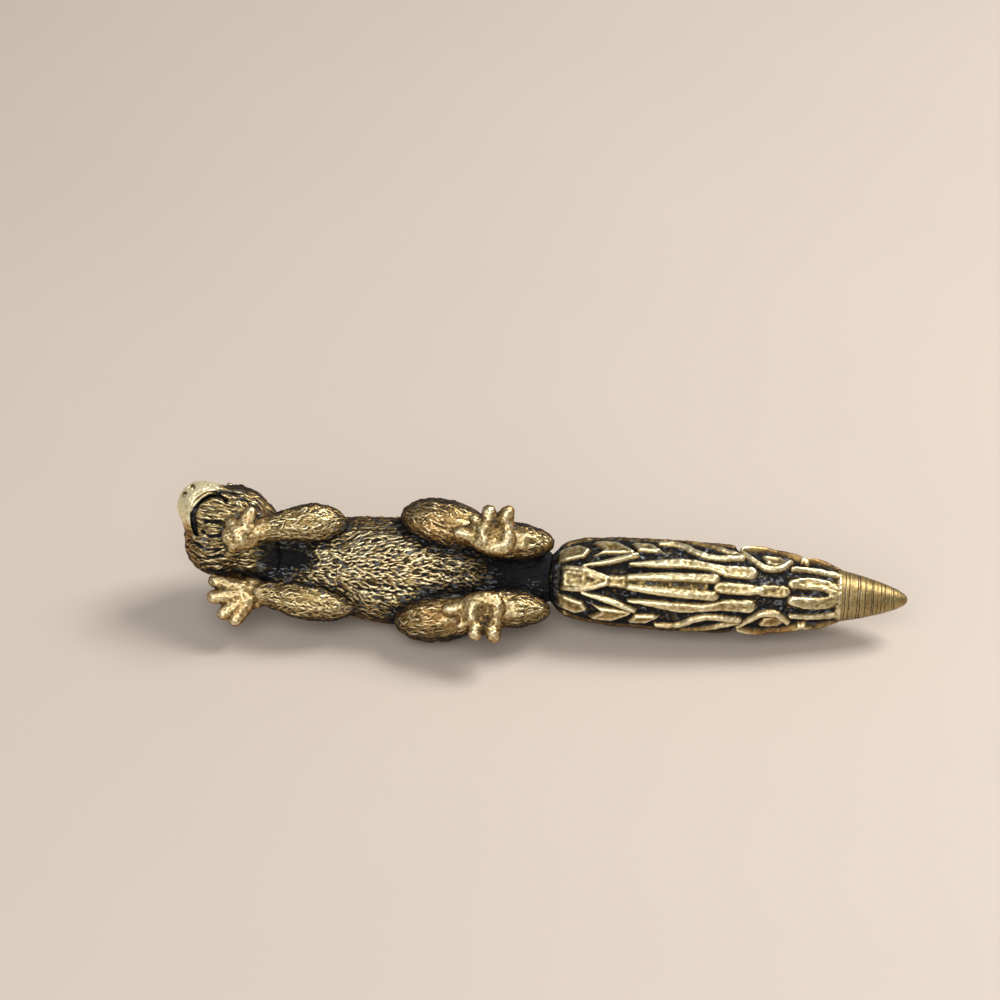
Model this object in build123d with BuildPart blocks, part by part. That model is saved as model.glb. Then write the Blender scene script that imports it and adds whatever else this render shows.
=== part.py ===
"""Squirrel figurine: a slim brass squirrel that lies on its back with its limbs drawn up.

A long carved tail follows on from the rump and ends in a plain turned cone. Millimetres, +Z up.
The origin is on the table under the joint between rump and tail. The tail points along +X, the
head along -X, and the belly leans towards -Y. Places on the animal are given along its own axis
(positive towards the tail), to its own left, and to its front, which is the belly side.
"""

import os
from math import atan2, cos, degrees, radians, sin, sqrt

from build123d import *

# How the figure lies, in degrees
belly_lift = 40.0
head_turn = 141.0
head_lift = 20.0
tail_fold_turn = 50.0

# Torso
torso_length = 36.2
torso_width = 13.2
torso_depth = 13.6

# Head
head_length = 13.2
head_width = 13.0
head_depth = 11.4
ear_length = 4.4
ear_width = 2.6
ear_thickness = 1.3
eye_diameter = 1.7
nostril_diameter = 0.55
nostril_depth = 0.7
mouth_width = 6.0
mouth_gape = 0.4
neck_diameter = 9.6

# Arms and hands
arm_length = 12.6
arm_thickness = 5.2
hand_length = 5.5
hand_width = 4.4
hand_thickness = 2.4
finger_thickness = 1.9

# Legs and feet
thigh_length = 12.4
thigh_width = 7.2
thigh_depth = 9.2
shank_length = 12.4
shank_width = 5.2
shank_depth = 7.0
foot_length = 6.6
foot_width = 4.8
foot_thickness = 3.2
toe_thickness = 2.1

# Tail
tail_length = 37.3
tail_diameter = 12.4
relief_depth = 0.9
tip_length = 8.7

# Half widths of the tail's raised bars, in degrees round its axis
fork_half_turn = 5.0
side_bar_half_turn = 4.5
middle_bar_half_turn = 6.0
block_half_turn = 9.0
horseshoe_half_turn = 7.0
horseshoe_end_half_turn = 20.0
outer_bar_half_turn = 3.0

# Pins and studs
neck_pin_diameter = 2.4
neck_pin_length = 10.0
shoulder_pin_diameter = 1.4
shoulder_pin_length = 4.4
hip_pin_diameter = 1.8
hip_pin_length = 6.0
tail_stud_diameter = 3.0
tail_stud_length = 14.0
tip_stud_diameter = 1.8
tip_stud_length = 7.0
pin_clearance = 0.05

# Sides of the oval sections, and flats round the tail
torso_sides = 14
head_sides = 12
limb_sides = 10
paw_sides = 10
tail_flats = 24

half_width = torso_width / 2
half_depth = torso_depth / 2
tail_radius = tail_diameter / 2

# Resting pose: the widest parts of torso and tail touch the table, so the axis leans a little
torso_rest_share = 0.53
tail_rest_share = 0.40
lift_cos = cos(radians(belly_lift))
lift_sin = sin(radians(belly_lift))
torso_drop = sqrt((half_width * lift_cos) ** 2 + (half_depth * lift_sin) ** 2)
rest_span = torso_length * torso_rest_share + tail_length * tail_rest_share
axis_lean = atan2(torso_drop - tail_radius, rest_span)
axis_height = tail_radius * cos(axis_lean) + tail_length * tail_rest_share * sin(axis_lean)
FIGURE = Plane(
    origin=(0, 0, axis_height),
    x_dir=(cos(axis_lean), 0, -sin(axis_lean)),
    z_dir=(lift_sin * sin(axis_lean), -lift_cos, lift_sin * cos(axis_lean)),
)


def spot(along, left, front):
    """Point of the figure: along its axis, to its left and towards its belly."""
    return FIGURE.from_local_coords(Vector(along, left, front))


def course(along, left, front):
    """Direction on the figure, given by its share along each of the figure's axes."""
    return spot(along, left, front) - spot(0, 0, 0)


def oval(plane, half_across, half_through, sides):
    """Section of a form: a many-sided oval."""
    with BuildSketch(plane) as section:
        with BuildLine():
            turns = [radians(360 * (side + 0.5) / sides) for side in range(sides)]
            Polyline(*[(half_across * cos(turn), half_through * sin(turn)) for turn in turns], close=True)
        make_face()
    return section.sketch


def swelling(points, halves, across, sides):
    """Rounded form through oval sections square to a path, closed to a point at both ends."""
    sections = []
    for before, here, after, (half_across, half_through) in zip(points, points[1:], points[2:], halves):
        plane = Plane(here, x_dir=across, z_dir=after - before)
        sections.append(oval(plane, half_across, half_through, sides))
    with BuildPart() as form:
        loft([Vertex(*points[0]), *sections, Vertex(*points[-1])])
    return form.part


def faceted(rings):
    """Form of flat faces through rings of corners, with a flat face at each end."""
    faces = [Face(Wire.make_polygon(rings[0])), Face(Wire.make_polygon(rings[-1]))]
    for near, far in zip(rings, rings[1:]):
        for side in range(len(near)):
            corners = [near[side - 1], near[side], far[side], far[side - 1]]
            faces.append(Face(Wire.make_polygon(corners)))
    return Solid(Shell(faces))


# An egg's stations: place along its length, and how full it is there
EGG_SHARES = [
    (0.0, 0.22), (0.05, 0.47), (0.14, 0.72), (0.30, 0.94), (0.50, 1.0),
    (0.70, 0.92), (0.86, 0.70), (0.95, 0.46), (1.0, 0.22),
]


def egg(start, end, half_across, half_through, across, sides):
    """Egg-shaped form between two end points."""
    rings = []
    for place, full in EGG_SHARES:
        plane = Plane(start + (end - start) * place, x_dir=across, z_dir=end - start)
        turns = [radians(360 * (side + 0.5) / sides) for side in range(sides)]
        wide = half_across * full
        deep = half_through * full
        rings.append([plane.from_local_coords(Vector(wide * cos(turn), deep * sin(turn))) for turn in turns])
    return faceted(rings)


digit_end_share = 0.7


def digit(root, end, thickness):
    """Six-sided rod that tapers to a blunt end: a finger, a toe, an eye or a nostril's bore."""
    length = (end - root).length
    slope = degrees(atan2(thickness / 2 * (1 - digit_end_share), length))
    with BuildPart() as built:
        with BuildSketch(Plane(root, z_dir=end - root)):
            RegularPolygon(thickness / 2, 6)
        extrude(amount=length, taper=slope)
    return built.part


def rod(start, end, radius):
    """Round rod between two points."""
    with BuildPart() as shaft:
        with BuildSketch(Plane(start, z_dir=end - start)):
            Circle(radius)
        extrude(amount=(end - start).length)
    return shaft.part


def pin_ends(centre, direction, length):
    """The two end points of a pin."""
    half = direction.normalized() * (length / 2)
    return centre - half, centre + half


def pin_hole(ends, diameter):
    """Blind hole that a pin drops into, with clearance all round and at both ends."""
    start, end = ends
    spare = (end - start).normalized() * pin_clearance
    return rod(start - spare, end + spare, diameter / 2 + pin_clearance)


# Torso: stations from neck to rump, as place along, offset left, offset front, width and depth
TORSO_SHARES = [
    (1.000, 0.08, 0.08, 0.74, 0.66),
    (0.915, 0.04, 0.03, 0.84, 0.76),
    (0.800, 0.00, 0.00, 0.92, 0.87),
    (0.650, 0.00, 0.00, 0.99, 0.98),
    (0.530, 0.00, 0.00, 1.00, 1.00),
    (0.380, 0.00, -0.03, 0.98, 0.96),
    (0.240, 0.00, -0.12, 0.86, 0.76),
    (0.120, 0.00, -0.16, 0.68, 0.56),
    (0.000, 0.00, -0.03, 0.48, 0.45),
]


def torso_section(along_share, left_share, front_share, width_share, depth_share):
    """One upright section of the torso."""
    centre = spot(-torso_length * along_share, half_width * left_share, half_depth * front_share)
    plane = Plane(centre, x_dir=course(0, 0, 1), z_dir=course(1, 0, 0))
    return oval(plane, half_depth * depth_share, half_width * width_share, torso_sides)


with BuildPart() as torso_form:
    loft([torso_section(*row) for row in TORSO_SHARES])

# Head: its own plane has the muzzle along z, the right cheek along x and the chin along y
skull_left_share = 0.52
skull_front_share = 0.30
skull_along_share = 1.17
skull_centre = spot(
    -torso_length * skull_along_share, half_width * skull_left_share, half_depth * skull_front_share
)
turn_cos = cos(radians(head_turn))
turn_sin = sin(radians(head_turn))
muzzle_course = course(
    cos(radians(head_lift)) * turn_cos, cos(radians(head_lift)) * turn_sin, sin(radians(head_lift))
)
HEAD = Plane(skull_centre, x_dir=course(-turn_sin, turn_cos, 0), z_dir=muzzle_course)

# Head stations from nape to nose: place along, drop towards the chin, width and depth
HEAD_SHARES = [
    (-0.40, 0.00, 0.00, 0.00),
    (-0.33, 0.00, 0.54, 0.54),
    (-0.18, 0.00, 0.88, 0.88),
    (0.00, 0.00, 1.00, 1.00),
    (0.17, 0.02, 0.90, 0.90),
    (0.31, 0.05, 0.69, 0.69),
    (0.43, 0.06, 0.54, 0.54),
    (0.52, 0.05, 0.44, 0.44),
    (0.60, 0.03, 0.27, 0.27),
    (0.635, 0.02, 0.00, 0.00),
]


def head_spot(right_share, chin_share, along_share):
    """Point of the head, in shares of its half width, half depth and length."""
    return HEAD.from_local_coords(
        Vector(head_width / 2 * right_share, head_depth / 2 * chin_share, head_length * along_share)
    )


skull_form = swelling(
    [head_spot(0, drop, place) for place, drop, _, _ in HEAD_SHARES],
    [(head_width / 2 * wide, head_depth / 2 * deep) for _, _, wide, deep in HEAD_SHARES[1:-1]],
    HEAD.x_dir,
    head_sides,
)

# Neck: swells from the torso's end face into the skull
neck_seat = spot(-torso_length, half_width * TORSO_SHARES[0][1], half_depth * TORSO_SHARES[0][2])
neck_course = skull_centre - neck_seat
neck_middle_share = 0.45
neck_root_share = 0.88
neck_waist = neck_seat + neck_course * neck_middle_share
neck_sections = []
for centre, half in ((skull_centre, head_depth / 2 * neck_root_share), (neck_waist, neck_diameter / 2)):
    neck_plane = Plane(centre, x_dir=course(0, 0, 1), z_dir=-neck_course)
    neck_sections.append(oval(neck_plane, half, half, torso_sides))
with BuildPart() as neck_form:
    loft([*neck_sections, torso_section(*TORSO_SHARES[0])])

# Ears are laid back along the crown: root and aim of the right one, which the left one mirrors
EAR_SHARES = [(0.52, -0.62, 0.08), (0.84, -0.66, -0.22)]
EAR_OUTLINE_SHARES = [
    (0.0, -0.7), (0.45, -1.0), (0.8, -0.6), (1.0, 0.0), (0.8, 0.6), (0.45, 1.0), (0.0, 0.7)
]


def ear(side):
    """One ear, a flat leaf that lies back along the crown."""
    root, aim = [head_spot(side * right, chin, place) for right, chin, place in EAR_SHARES]
    leaf = Plane(root, x_dir=aim - root, z_dir=(aim - root).cross(HEAD.x_dir))
    with BuildPart() as built:
        with BuildSketch(leaf):
            with BuildLine():
                edge = [(ear_length * reach, ear_width / 2 * wide) for reach, wide in EAR_OUTLINE_SHARES]
                Polyline(*edge, close=True)
            make_face()
        extrude(amount=ear_thickness / 2, both=True)
    return built.part


eye_right_share = 0.60
eye_chin_share = -0.56
eye_along_share = 0.22
nostril_right_share = 0.10
nostril_chin_share = 0.14
nostril_along_share = 0.60
mouth_along_share = 0.25
mouth_chin_share = 0.35
MOUTH_TURNS = (0, 25, 50, 75, 105, 130, 155, 180)

neck_pin_ends = pin_ends(neck_seat, neck_course, neck_pin_length)

with BuildPart() as head:
    add(skull_form)
    add(neck_form.part)
    for side in (1, -1):
        add(ear(side))
        eye = head_spot(side * eye_right_share, eye_chin_share, eye_along_share)
        sight = (eye - skull_centre).normalized() * (eye_diameter / 2)
        add(digit(eye - sight, eye + sight, eye_diameter))
    # Mouth: a narrow slot on a horseshoe line between chin and upper lip
    mouth_middle = head_spot(0, mouth_chin_share, mouth_along_share)
    with BuildSketch(Plane(mouth_middle, x_dir=HEAD.x_dir, z_dir=HEAD.y_dir)):
        with BuildLine():
            lips = []
            for half in (mouth_width / 2 + mouth_gape / 2, mouth_width / 2 - mouth_gape / 2):
                arc = [(half * cos(radians(turn)), -half * sin(radians(turn))) for turn in MOUTH_TURNS]
                lips += arc if not lips else arc[::-1]
            Polyline(*lips, close=True)
        make_face()
    extrude(amount=head_depth, mode=Mode.SUBTRACT)
    for side in (1, -1):
        nostril = head_spot(side * nostril_right_share, nostril_chin_share, nostril_along_share)
        inward = HEAD.z_dir * nostril_depth
        add(digit(nostril + inward, nostril - inward, nostril_diameter), mode=Mode.SUBTRACT)
    add(torso_form.part, mode=Mode.SUBTRACT)
    add(pin_hole(neck_pin_ends, neck_pin_diameter), mode=Mode.SUBTRACT)

with BuildPart() as neck_pin:
    add(rod(*neck_pin_ends, neck_pin_diameter / 2))

# Arms: path from the shoulder end to the wrist, as place along from the elbow, offset to the
# side, offset to the front, and thickness
elbow_share = 0.765
LEFT_ARM_SHARES = [
    (-0.10, 0.58, 0.38, 0.00),
    (0.00, 0.70, 0.50, 0.66),
    (0.14, 0.76, 0.63, 0.98),
    (0.30, 0.75, 0.75, 1.03),
    (0.46, 0.70, 0.87, 0.90),
    (0.64, 0.62, 1.00, 0.72),
    (0.82, 0.53, 1.11, 0.60),
    (0.94, 0.46, 1.16, 0.00),
]
RIGHT_ARM_SHARES = [
    (-0.30, 0.60, 0.30, 0.00),
    (-0.16, 0.72, 0.42, 0.62),
    (0.06, 0.79, 0.52, 0.90),
    (0.26, 0.78, 0.58, 0.95),
    (0.46, 0.73, 0.62, 0.88),
    (0.62, 0.68, 0.64, 0.74),
    (0.76, 0.66, 0.65, 0.62),
    (0.86, 0.67, 0.65, 0.00),
]

# Fingers: end of each from the middle of the palm, along, to the side and to the front
LEFT_FINGER_SHARES = [(0.15, 0.58, 0.02), (-0.32, 0.24, 0.03), (-0.40, -0.06, 0.02), (-0.24, -0.34, 0.00)]
RIGHT_FINGER_SHARES = [(-1.00, -0.27, 0.08), (-0.98, 0.18, 0.18), (-0.67, 0.60, 0.18), (-0.36, 0.76, 0.14)]
shoulder_station = 3


def arm_spot(side, along_share, side_share, front_share):
    """Point of an arm: along from the elbow towards the hand, out to the side and to the front."""
    along = -torso_length * elbow_share - arm_length * along_share
    return spot(along, side * half_width * side_share, half_depth * front_share)


def shoulder_ends(side, arm_shares):
    """End points of the pin that ties an arm to the torso."""
    along_share, side_share, front_share, _ = arm_shares[shoulder_station]
    middle = arm_spot(side, along_share, side_share, front_share)
    hub = arm_spot(side, along_share, 0, 0)
    outward = (middle - hub).normalized()
    outer = middle + outward * (arm_thickness / 4)
    return outer - outward * shoulder_pin_length, outer


def arm(side, arm_shares, finger_shares):
    """One arm with its hand, cut to sit on the torso and the head."""
    path = [arm_spot(side, *row[:3]) for row in arm_shares]
    halves = [(arm_thickness / 2 * full, arm_thickness / 2 * full) for _, _, _, full in arm_shares[1:-1]]
    limb = swelling(path, halves, course(0, 0, 1), limb_sides)
    palm = path[-1]
    reach = (path[-1] - path[-2]).normalized() * (hand_length / 2)
    pad = egg(palm - reach, palm + reach, hand_thickness / 2, hand_width / 2, course(0, 0, 1), paw_sides)
    fingers = []
    for along_share, side_share, front_share in finger_shares:
        aim = course(
            hand_length * along_share, side * hand_length * side_share, hand_length * front_share
        )
        fingers.append(digit(palm, palm + aim, finger_thickness))
    with BuildPart() as built:
        add(limb)
        add(pad)
        for finger in fingers:
            add(finger)
        add(torso_form.part, mode=Mode.SUBTRACT)
        add(head.part, mode=Mode.SUBTRACT)
        add(pin_hole(shoulder_ends(side, arm_shares), shoulder_pin_diameter), mode=Mode.SUBTRACT)
    return built.part


with BuildPart() as left_arm:
    add(arm(1, LEFT_ARM_SHARES, LEFT_FINGER_SHARES))
with BuildPart() as right_arm:
    add(arm(-1, RIGHT_ARM_SHARES, RIGHT_FINGER_SHARES))
with BuildPart() as shoulder_pins:
    add(rod(*shoulder_ends(1, LEFT_ARM_SHARES), shoulder_pin_diameter / 2))
    add(rod(*shoulder_ends(-1, RIGHT_ARM_SHARES), shoulder_pin_diameter / 2))

# Legs: thigh and shank are eggs beside the rump, the foot lies on the shank with its sole to the
# front. The shank is placed from the middle of the thigh in shares of the thigh's own sizes, and the
# foot is raised from the shank's front so that it stays sunk in it.
thigh_along_share = 0.38
thigh_side_share = 0.86
thigh_front_share = 0.42
thigh_splay_share = 0.10
SHANK_PLACE_SHARES = (0.619, -0.183, 0.030)
FOOT_PLACE_SHARES = (0.482, -0.128, 0.030)
foot_rise_share = 0.306375
foot_splay_share = 0.25
right_foot_lead_share = 0.12

# Toes: root and end of each from the middle of the sole, along and to the side, first toe inwards
TOE_SHARES = [
    (-0.20, 0.00, -0.68, 0.08),
    (-0.24, 0.16, -0.40, 0.38),
    (-0.04, 0.14, -0.08, 0.62),
    (0.30, -0.08, 0.32, 0.62),
]


def leg_spot(side, place_shares=(0, 0, 0)):
    """Point of a leg, from the middle of the thigh: along, out to the side and to the front."""
    along_share, side_share, front_share = place_shares
    along = -torso_length * thigh_along_share + thigh_length * along_share
    left = half_width * thigh_side_share + thigh_width * side_share
    front = half_depth * thigh_front_share + thigh_depth * front_share
    return spot(along, side * left, front)


def hip_ends(side):
    """End points of the pin that ties a leg to the torso."""
    middle = leg_spot(side)
    hub = spot(-torso_length * thigh_along_share, 0, 0)
    outward = (middle - hub).normalized()
    outer = middle + outward * (thigh_width / 6)
    return outer - outward * hip_pin_length, outer


def leg(side, lead):
    """One folded leg with its foot, cut to sit on the torso."""
    front = course(0, 0, 1)
    knee_aim = course(-1, side * thigh_splay_share * 2, thigh_splay_share).normalized()
    heel_aim = course(1, -side * foot_splay_share, 0).normalized()
    thigh_reach = knee_aim * (thigh_length / 2)
    shank_reach = course(1, 0, 0) * (shank_length / 2)
    sole_reach = heel_aim * (foot_length / 2)
    thigh = leg_spot(side)
    shank = leg_spot(side, SHANK_PLACE_SHARES)
    rise = shank_depth / 2 + foot_thickness * foot_rise_share
    sole = leg_spot(side, FOOT_PLACE_SHARES) + course(-lead, 0, rise)
    forms = [
        egg(thigh + thigh_reach, thigh - thigh_reach, thigh_depth / 2, thigh_width / 2, front, limb_sides),
        egg(shank + shank_reach, shank - shank_reach, shank_depth / 2, shank_width / 2, front, limb_sides),
        egg(sole + sole_reach, sole - sole_reach, foot_thickness / 2, foot_width / 2, front, paw_sides),
    ]
    for root_along, root_side, end_along, end_side in TOE_SHARES:
        root = sole + course(foot_length * root_along, side * foot_length * root_side, 0)
        end = sole + course(foot_length * end_along, side * foot_length * end_side, 0)
        forms.append(digit(root, end, toe_thickness))
    with BuildPart() as built:
        add(forms)
        add(torso_form.part, mode=Mode.SUBTRACT)
        add(pin_hole(hip_ends(side), hip_pin_diameter), mode=Mode.SUBTRACT)
    return built.part


with BuildPart() as left_leg:
    add(leg(1, 0))
with BuildPart() as right_leg:
    add(leg(-1, foot_length * right_foot_lead_share))
with BuildPart() as hip_pins:
    add(rod(*hip_ends(1), hip_pin_diameter / 2))
    add(rod(*hip_ends(-1), hip_pin_diameter / 2))

# Tail outline: place along, radius, and how deep the ground lies below it between the motifs
TAIL_SHARES = [
    (0.000, 0.58, 0.30),
    (0.050, 0.83, 0.80),
    (0.110, 0.92, 1.00),
    (0.220, 0.98, 1.00),
    (0.420, 1.00, 1.00),
    (0.620, 0.94, 1.00),
    (0.800, 0.83, 1.00),
    (0.940, 0.65, 0.90),
    (1.000, 0.54, 0.15),
]


def tail_reach(along_share):
    """Outer radius of the tail at a place along it."""
    for (start, low, _), (end, high, _) in zip(TAIL_SHARES, TAIL_SHARES[1:]):
        if along_share <= end:
            return tail_radius * (low + (high - low) * (along_share - start) / (end - start))
    return tail_radius * TAIL_SHARES[-1][1]


def tail_plane(turn):
    """Plane through the tail's axis that faces out at a turn from the front towards the left."""
    outward = course(0, sin(radians(turn)), cos(radians(turn)))
    return Plane(spot(0, 0, 0), x_dir=course(1, 0, 0), z_dir=outward)


def tail_ring(along, radius):
    """Corners of the flats round the tail at a place along it."""
    turns = [radians(360 * flat / tail_flats) for flat in range(tail_flats)]
    return [spot(along, radius * sin(turn), radius * cos(turn)) for turn in turns]


def tail_body(sink):
    """Body of flats round the tail's axis, sunk below the outer reach by a depth."""
    rings = []
    for place, full, deep in TAIL_SHARES:
        rings.append(tail_ring(tail_length * place, tail_radius * full - sink * deep))
    return faceted(rings)


# Motifs of the relief. Each point is a place along the tail and a turn in degrees from the front.
# Bars follow a middle line and have half a width in degrees, leaves are closed outlines.
FRONT_LEAF_SHARES = [
    (0.03, 21), (0.10, 14), (0.165, 6), (0.27, 4), (0.27, -4), (0.165, -6), (0.10, -14), (0.03, -21)
]
FORK_BAR_SHARES = [(0.24, 3), (0.29, 6), (0.56, 7.5)]
MIDDLE_BAR_SHARES = [(0.585, 0), (0.70, 0)]
BLOCK_SHARES = [(0.725, 0), (0.80, 0)]
HORSESHOE_SHARES = [(0.83, 15), (0.92, 16), (0.985, 18)]
HORSESHOE_END_SHARES = [(0.955, 0), (0.985, 0)]
SIDE_BAR_SHARES = [(0.275, 23), (0.35, 26), (0.44, 30), (0.54, 24), (0.69, 23)]
OUTER_BAR_SHARES = [(0.84, 37), (0.985, 45)]
TUFT_SHARES = [(0.03, 30), (0.09, 35), (0.125, 45), (0.09, 55), (0.03, 62)]
SIDE_LEAF_SHARES = [(0.115, 18), (0.21, 28), (0.29, 41), (0.22, 54), (0.14, 64), (0.18, 41)]
LEAFLET_SHARES = [(0.30, 31), (0.375, 42), (0.31, 56)]
SCROLL_SHARES = [
    (0.345, 66), (0.40, 54), (0.46, 41), (0.56, 39), (0.65, 43),
    (0.66, 55), (0.60, 70), (0.46, 76), (0.36, 76),
]
SCROLL_HOLE_SHARES = [(0.46, 56), (0.51, 49), (0.60, 51), (0.585, 61), (0.49, 66)]
EYELET_SHARES = [(0.68, 52), (0.735, 32), (0.80, 40), (0.825, 52), (0.79, 68), (0.73, 78), (0.68, 70)]
EYELET_HOLE_SHARES = [(0.735, 50), (0.775, 48), (0.785, 57), (0.745, 62)]
SPIKE_SHARES = [(0.87, 60), (0.91, 69), (0.985, 68), (0.985, 56), (0.93, 56)]


def bar(middle_shares, half_turn):
    """Closed outline of a bar along a middle line."""
    near = [(place, turn - half_turn) for place, turn in middle_shares]
    far = [(place, turn + half_turn) for place, turn in reversed(middle_shares)]
    return near + far


def mirrored(outline):
    """The same outline on the other side of the front."""
    return [(place, -turn) for place, turn in reversed(outline)]


front_halves = [
    bar(FORK_BAR_SHARES, fork_half_turn),
    bar(SIDE_BAR_SHARES, side_bar_half_turn),
    bar(HORSESHOE_SHARES, horseshoe_half_turn),
    bar(OUTER_BAR_SHARES, outer_bar_half_turn),
]
front_motifs = [
    FRONT_LEAF_SHARES,
    bar(MIDDLE_BAR_SHARES, middle_bar_half_turn),
    bar(BLOCK_SHARES, block_half_turn),
    bar(HORSESHOE_END_SHARES, horseshoe_end_half_turn),
]
front_motifs += front_halves + [mirrored(outline) for outline in front_halves]
side_motifs = [TUFT_SHARES, SIDE_LEAF_SHARES, LEAFLET_SHARES, SCROLL_SHARES, EYELET_SHARES, SPIKE_SHARES]
side_holes = [SCROLL_HOLE_SHARES, EYELET_HOLE_SHARES]
tail_skin = tail_body(0)


def raised(column, hand, home, motifs, holes=()):
    """Motifs of one column, drawn on a flat through the axis and cut from the tail's full body."""
    with BuildPart() as relief:
        with BuildSketch(tail_plane(column)):
            for outlines, mode in ((motifs, Mode.ADD), (holes, Mode.SUBTRACT)):
                for outline in outlines:
                    places = [
                        (tail_length * place, hand * tail_reach(place) * sin(radians(turn - home)))
                        for place, turn in outline
                    ]
                    with BuildLine():
                        Polyline(*places[::hand], close=True)
                    make_face(mode=mode)
        extrude(amount=tail_diameter)
        add(tail_skin, mode=Mode.INTERSECT)
    return relief.part


# Each column is drawn again on the back, and the side ones also on the right, mirrored
side_columns = [
    (tail_fold_turn, 1), (-tail_fold_turn, -1), (180 - tail_fold_turn, -1), (180 + tail_fold_turn, 1)
]
reliefs = [raised(turn, 1, 0, front_motifs) for turn in (0, 180)]
reliefs += [raised(turn, hand, tail_fold_turn, side_motifs, side_holes) for turn, hand in side_columns]

tail_stud_ends = pin_ends(spot(0, 0, 0), course(1, 0, 0), tail_stud_length)
tip_stud_ends = pin_ends(spot(tail_length, 0, 0), course(1, 0, 0), tip_stud_length)
with BuildPart() as tail:
    add(tail_body(relief_depth))
    for relief in reliefs:
        add(relief)
    add(pin_hole(tail_stud_ends, tail_stud_diameter), mode=Mode.SUBTRACT)
    add(pin_hole(tip_stud_ends, tip_stud_diameter), mode=Mode.SUBTRACT)

with BuildPart() as tail_stud:
    add(rod(*tail_stud_ends, tail_stud_diameter / 2))
with BuildPart() as tip_stud:
    add(rod(*tip_stud_ends, tip_stud_diameter / 2))

# Cone at the tail's end: place along and radius, from its seat to the blunt nose
TIP_SHARES = [(0.0, 1.0), (0.31, 0.82), (0.61, 0.60), (0.84, 0.38), (0.96, 0.20), (1.0, 0.06)]
tip_radius = tail_radius * TAIL_SHARES[-1][1]
with BuildPart() as tail_tip:
    tip_rings = []
    for place, full in TIP_SHARES:
        tip_rings.append(tail_ring(tail_length + tip_length * place, tip_radius * full))
    add(faceted(tip_rings))
    add(pin_hole(tip_stud_ends, tip_stud_diameter), mode=Mode.SUBTRACT)

with BuildPart() as torso:
    add(torso_form.part)
    add(pin_hole(neck_pin_ends, neck_pin_diameter), mode=Mode.SUBTRACT)
    add(pin_hole(tail_stud_ends, tail_stud_diameter), mode=Mode.SUBTRACT)
    add(pin_hole(shoulder_ends(1, LEFT_ARM_SHARES), shoulder_pin_diameter), mode=Mode.SUBTRACT)
    add(pin_hole(shoulder_ends(-1, RIGHT_ARM_SHARES), shoulder_pin_diameter), mode=Mode.SUBTRACT)
    for side in (1, -1):
        add(pin_hole(hip_ends(side), hip_pin_diameter), mode=Mode.SUBTRACT)

pieces = {
    "torso": torso,
    "head": head,
    "left_arm": left_arm,
    "right_arm": right_arm,
    "left_leg": left_leg,
    "right_leg": right_leg,
    "tail": tail,
    "tail_tip": tail_tip,
    "neck_pin": neck_pin,
    "shoulder_pins": shoulder_pins,
    "hip_pins": hip_pins,
    "tail_stud": tail_stud,
    "tip_stud": tip_stud,
}
os.makedirs("parts", exist_ok=True)
for name, piece in pieces.items():
    piece.part.label = name
    export_step(piece.part, f"parts/{name}.step")
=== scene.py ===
"""Looks of the brass squirrel figurine: fur, carved tail, turned cone, antiqued metal and a pale stage.

Each CAD node is re-skinned finely, carved in numpy, toned by how deep every point lies and by
painted shade, and shown in its node's place. Carving works in millimetres in the figure's own axes:
along (to the tail), left, and front (to the belly).
"""

import math

import bmesh
import bpy
import numpy as np
from mathutils import Matrix, Vector, kdtree
from mathutils.bvhtree import BVHTree


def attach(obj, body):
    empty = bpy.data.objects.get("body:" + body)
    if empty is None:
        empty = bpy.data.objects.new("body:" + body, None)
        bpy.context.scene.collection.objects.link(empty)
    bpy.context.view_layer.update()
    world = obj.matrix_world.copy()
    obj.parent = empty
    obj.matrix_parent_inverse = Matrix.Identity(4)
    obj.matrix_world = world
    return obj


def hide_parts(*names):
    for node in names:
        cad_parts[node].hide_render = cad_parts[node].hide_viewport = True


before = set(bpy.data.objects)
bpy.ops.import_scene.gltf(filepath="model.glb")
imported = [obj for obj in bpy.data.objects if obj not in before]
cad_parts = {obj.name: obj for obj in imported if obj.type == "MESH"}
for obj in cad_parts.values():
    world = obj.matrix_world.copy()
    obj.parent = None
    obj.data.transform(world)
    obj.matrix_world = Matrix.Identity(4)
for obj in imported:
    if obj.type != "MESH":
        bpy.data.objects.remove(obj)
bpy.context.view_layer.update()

bl_info = {
    "name": "Brass Squirrel Figurine",
    "version": (1, 0, 0),
    "blender": (4, 5, 0),
    "location": "3D View > Sidebar > Figurine",
    "description": "Carves fur and relief into the figurine's pieces and gives them antiqued brass",
    "category": "Object",
}

MM = 1000.0
SEED = 225

# The figure's axes in the row frame: how far the belly lifts, how the axis leans, how high it lies
LIFT = math.radians(40.0)
LEAN = math.radians(0.812)
AXIS_HEIGHT = 6.411
ALONG = np.array((math.cos(LEAN), 0.0, -math.sin(LEAN)))
FRONT = np.array((math.sin(LIFT) * math.sin(LEAN), -math.cos(LIFT), math.sin(LIFT) * math.cos(LEAN)))
AXES = np.stack((ALONG, np.cross(FRONT, ALONG), FRONT))
HOME = np.array((0.0, 0.0, AXIS_HEIGHT))

# How far a point moves to the middle of its neighbours in one round of melting
MELT = 0.7
# Unevenness left by a rough casting, broad and fine, in millimetres
BROAD_DENTS = 0.1
FINE_DENTS = 0.03
# How much painted shade and a painted brown reflection darken and warm the sides beside the rubbed front
SIDE_SHADE = 0.4
SIDE_BROWN_REFLECTION = 0.6


def in_row(points):
    """Places of the figure in the row frame, in millimetres."""
    return points @ AXES + HOME


def mm(length):
    """A length setting in millimetres."""
    return round(length * MM, 6)


def smoothstep(low, high, value):
    """0 at low and before it, 1 at high and past it, and an even S between them."""
    t = np.clip((value - low) / (high - low), 0.0, 1.0)
    return t * t * (3.0 - 2.0 * t)


def bell(distance):
    """Round hump: 1 at distance 0, and 0 from distance 1 outwards."""
    return np.clip(1.0 - distance * distance, 0.0, None) ** 1.5


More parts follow.
